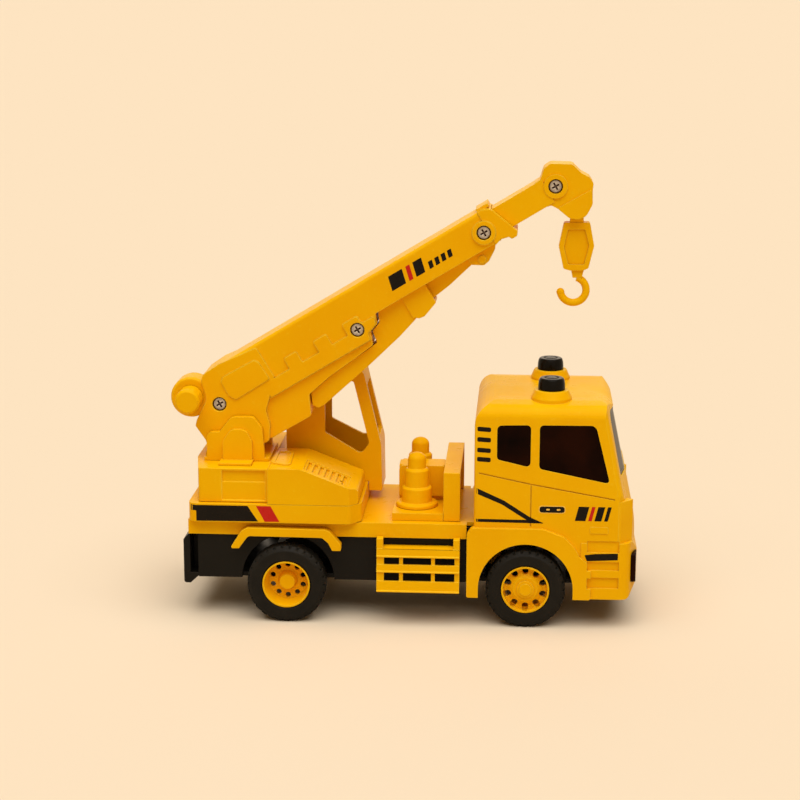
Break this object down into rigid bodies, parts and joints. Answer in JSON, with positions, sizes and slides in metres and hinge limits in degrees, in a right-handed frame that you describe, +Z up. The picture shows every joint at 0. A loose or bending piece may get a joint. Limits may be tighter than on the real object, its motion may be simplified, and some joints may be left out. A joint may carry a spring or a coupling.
{
  "type": "toy truck crane",
  "caption": "Toy truck crane: lorry with a slewing house, luffing box boom, telescopic jib, winch drum and swinging hook, on rolling wheels geared to an inertia flywheel.",
  "frame": {"origin": "centre of the whole toy's bounding box in plan, at floor level under the tyres", "axes": "+X to the truck's front, +Y to its left side, +Z up"},
  "size_m": [0.2088, 0.0804, 0.202],
  "materials": {
    "yellow_plastic": "glossy injection-moulded yellow-orange",
    "black_plastic": "satin moulded black",
    "beacon_black": "glossy black",
    "tyre": "satin black with moulded lugs",
    "smoked_plastic": "dark smoked, glossy",
    "white_plastic": "natural gear plastic",
    "steel": "zinc-plated steel"
  },
  "bodies": {
    "truck": {"chassis_tray": "black_plastic", "deck": "yellow_plastic", "rear_mudguard_right": "yellow_plastic", "rear_mudguard_left": "yellow_plastic", "side_step_right": "yellow_plastic", "side_step_left": "yellow_plastic", "pump_base": "yellow_plastic", "tank_right": "yellow_plastic", "tank_left": "yellow_plastic", "headboard": "yellow_plastic", "cab_shell": "yellow_plastic", "window_insert": "smoked_plastic", "beacon_right": "beacon_black", "beacon_left": "beacon_black", "headlamp_right": "smoked_plastic", "headlamp_left": "smoked_plastic", "motor_case_right": "black_plastic", "motor_case_left": "black_plastic", "chassis_screws": "steel", "idler_pin": "steel"},
    "front_wheels": {"front_axle": "steel", "front_hub_right": "yellow_plastic", "front_hub_left": "yellow_plastic", "front_tyre_right": "tyre", "front_tyre_left": "tyre"},
    "rear_wheels": {"rear_axle": "steel", "rear_hub_right": "yellow_plastic", "rear_hub_left": "yellow_plastic", "rear_tyre_right": "tyre", "rear_tyre_left": "tyre", "drive_gear": "white_plastic"},
    "idler": {"idler_gear": "white_plastic"},
    "flywheel": {"flywheel": "steel", "flywheel_pinion": "white_plastic"},
    "slewing_house": {"slew_platform": "yellow_plastic", "turntable_washer": "steel", "turntable_screw": "steel", "machinery_house": "yellow_plastic", "engine_hood": "yellow_plastic", "operator_cab": "yellow_plastic", "house_screws": "steel", "boom_bracket": "yellow_plastic", "boom_pivot_pin": "steel"},
    "boom": {"boom_shell_right": "yellow_plastic", "boom_shell_left": "yellow_plastic", "boom_screws": "steel", "ram_barrel": "yellow_plastic", "ram_rod": "yellow_plastic", "ram_pin": "steel"},
    "winch": {"winch_drum": "black_plastic", "winch_knob": "yellow_plastic"},
    "jib": {"jib_shell_right": "yellow_plastic", "jib_shell_left": "yellow_plastic", "jib_screw": "steel", "hook_pin": "steel"},
    "hook": {"hook_block": "yellow_plastic"}
  },
  "joints": [
    {"name": "front_roll", "type": "hinge", "parent": "truck", "child": "front_wheels", "pos_m": [0.05509, 0, 0.0175], "axis": [0, 1, 0], "continuous": true},
    {"name": "rear_roll", "type": "hinge", "parent": "truck", "child": "rear_wheels", "pos_m": [-0.05061, 0, 0.0175], "axis": [0, 1, 0], "continuous": true},
    {"name": "idler_spin", "type": "hinge", "parent": "truck", "child": "idler", "pos_m": [-0.04365, 0, 0.02238], "axis": [0, 1, 0], "continuous": true},
    {"name": "flywheel_spin", "type": "hinge", "parent": "truck", "child": "flywheel", "pos_m": [-0.0371, 0, 0.02696], "axis": [0, 1, 0], "continuous": true},
    {"name": "house_slew", "type": "hinge", "parent": "truck", "child": "slewing_house", "pos_m": [-0.05711, 0, 0.045], "axis": [0, 0, 1], "continuous": true},
    {"name": "boom_luff", "type": "hinge", "parent": "slewing_house", "child": "boom", "pos_m": [-0.07361, -0.007, 0.07745], "axis": [0, -1, 0], "range_deg": [-12, 8]},
    {"name": "winch_spin", "type": "hinge", "parent": "boom", "child": "winch", "pos_m": [-0.09529, -0.007, 0.09683], "axis": [0, 1, 0], "continuous": true},
    {"name": "jib_extend", "type": "slide", "parent": "boom", "child": "jib", "axis": [0.8554, 0, 0.518], "range_m": [0, 0.04]},
    {"name": "hook_swing", "type": "hinge", "parent": "jib", "child": "hook", "pos_m": [0.07489, -0.007, 0.18165], "axis": [0, -1, 0], "range_deg": [-35, 45]}
  ],
  "couplings": [
    {"joint": "idler_spin", "follows": "rear_roll", "ratio": -2.4},
    {"joint": "flywheel_spin", "follows": "rear_roll", "ratio": 5.28}
  ]
}
